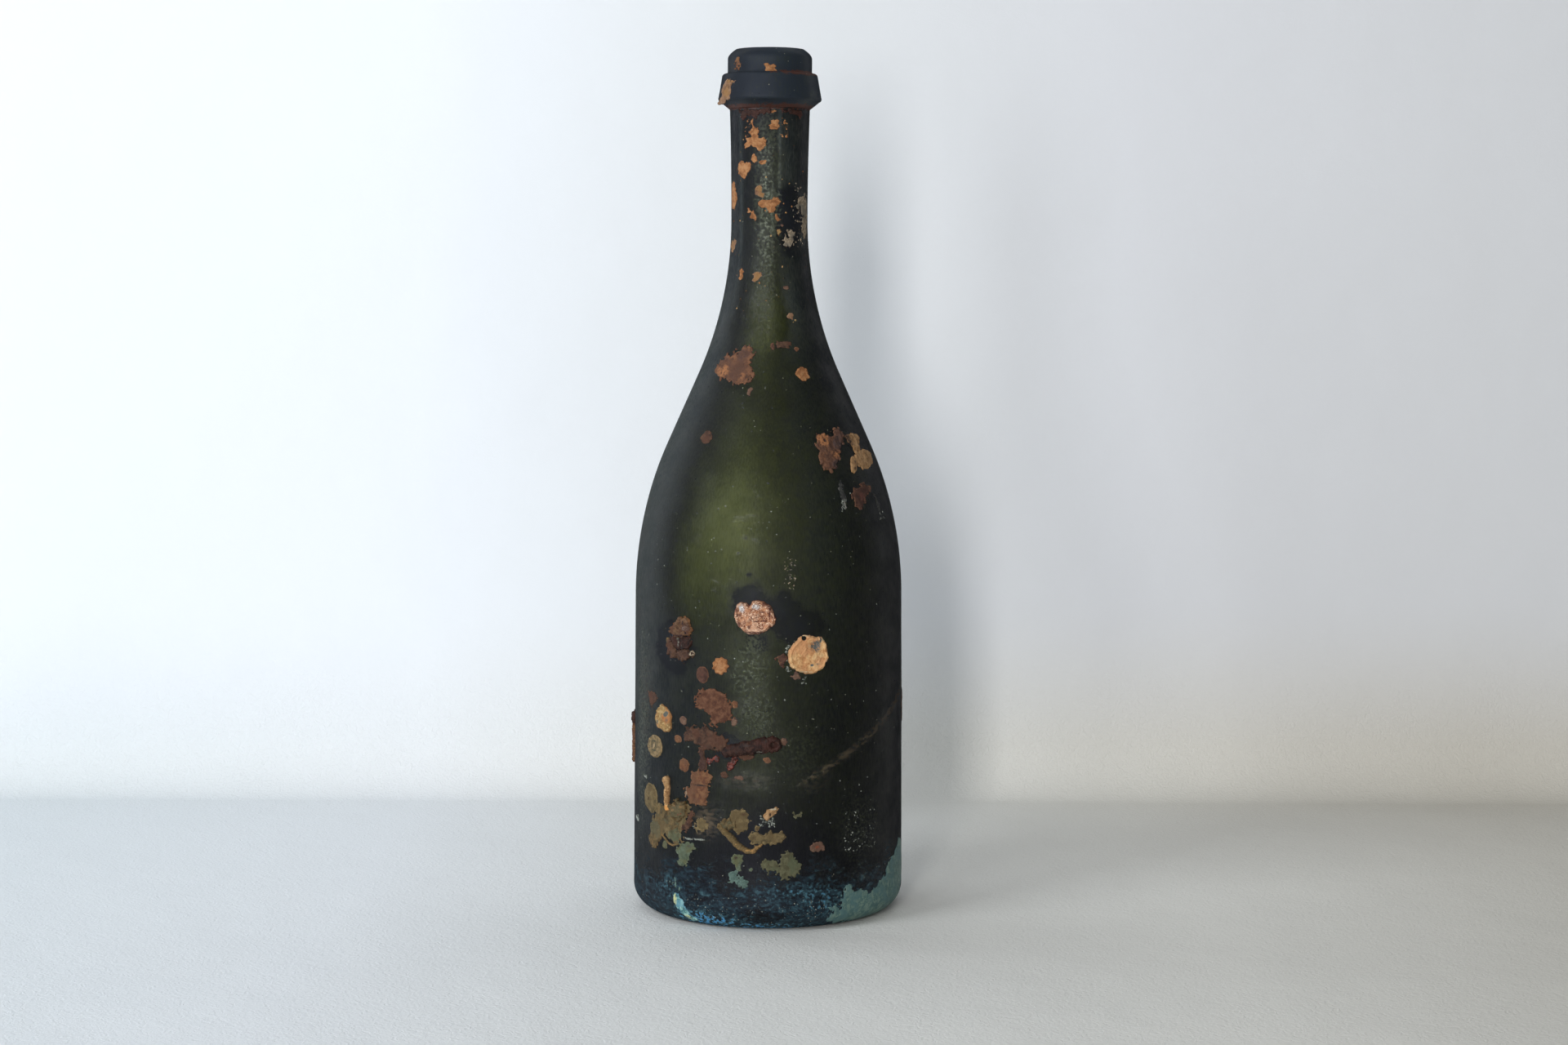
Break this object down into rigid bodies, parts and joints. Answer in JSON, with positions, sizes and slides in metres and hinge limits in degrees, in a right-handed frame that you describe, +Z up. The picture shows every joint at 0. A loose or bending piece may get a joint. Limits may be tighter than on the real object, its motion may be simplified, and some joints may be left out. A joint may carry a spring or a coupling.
{
  "type": "glass bottle",
  "caption": "Dark green sloping-shouldered wine bottle with deep punt, laid-on string rim and tooled lip, overgrown by shells, worm tubes and crusts.",
  "frame": {"origin": "centre of the flat ring that the bottle stands on", "axes": "+Z up along the bottle's axis to its mouth, -Y towards the pictured front with the marine growth"},
  "size_m": [0.0969, 0.0972, 0.3001],
  "materials": {
    "green_glass": "sea-worn satin, dark olive green",
    "shell_pink": "matt shell, pinkish white with brown veins",
    "shell_buff": "matt shell, buff and orange",
    "worm_tube": "chalky ochre",
    "ochre_crust": "rough ochre crust",
    "orange_crust": "rough orange-brown crust",
    "rust_crust": "matt red-brown crust",
    "dark_crust": "dark red-brown crust",
    "tan_crust": "rough tan crust",
    "olive_crust": "matt olive mat",
    "pale_crust": "matt grey-green mat"
  },
  "bodies": {
    "root": {"glass_body": "green_glass", "string_rim": "green_glass", "lip_ring": "green_glass", "oyster_scar": "shell_pink", "barnacle_disc": "shell_buff", "bronze_scale": "rust_crust", "knob_crust": "tan_crust", "horn_crust": "rust_crust", "round_disc": "orange_crust", "red_oval": "rust_crust", "great_red_disc": "rust_crust", "orange_oval": "ochre_crust", "grey_oval": "tan_crust", "brown_mat": "rust_crust", "fat_tube": "dark_crust", "red_spur": "dark_crust", "red_link": "dark_crust", "tan_crust": "orange_crust", "side_disc": "orange_crust", "long_oval": "tan_crust", "nodule": "ochre_crust", "left_mat": "olive_crust", "slanting_mat": "olive_crust", "red_mat": "rust_crust", "hanging_mat": "pale_crust", "olive_mat": "olive_crust", "twin_mat": "olive_crust", "shell_chip": "shell_buff", "three_lobed_mat": "olive_crust", "upper_pale_mat": "pale_crust", "lower_pale_mat": "pale_crust", "pink_disc": "rust_crust", "edge_bump": "dark_crust", "edge_ridge": "rust_crust", "far_edge_mat": "rust_crust", "shoulder_mat": "rust_crust", "shoulder_disc": "orange_crust", "shoulder_bar": "tan_crust", "shoulder_round": "rust_crust", "right_mat": "rust_crust", "right_arch": "tan_crust", "right_tan_mat": "tan_crust", "right_drop": "ochre_crust", "right_red_mat": "dark_crust", "neck_spindle": "orange_crust", "neck_square": "orange_crust", "neck_shield": "orange_crust", "neck_tan_flake": "tan_crust", "neck_wing": "orange_crust", "neck_edge_flake": "orange_crust", "neck_low_flake": "orange_crust", "neck_grey_mat": "tan_crust", "neck_right_mat": "tan_crust", "neck_foot_flake": "orange_crust", "rust_left_of_rim": "dark_crust", "rust_right_of_rim": "dark_crust", "rim_flake": "orange_crust", "lip_flake": "orange_crust", "hooked_worm_tube": "worm_tube", "upright_worm_tube": "worm_tube"}
  },
  "joints": []
}
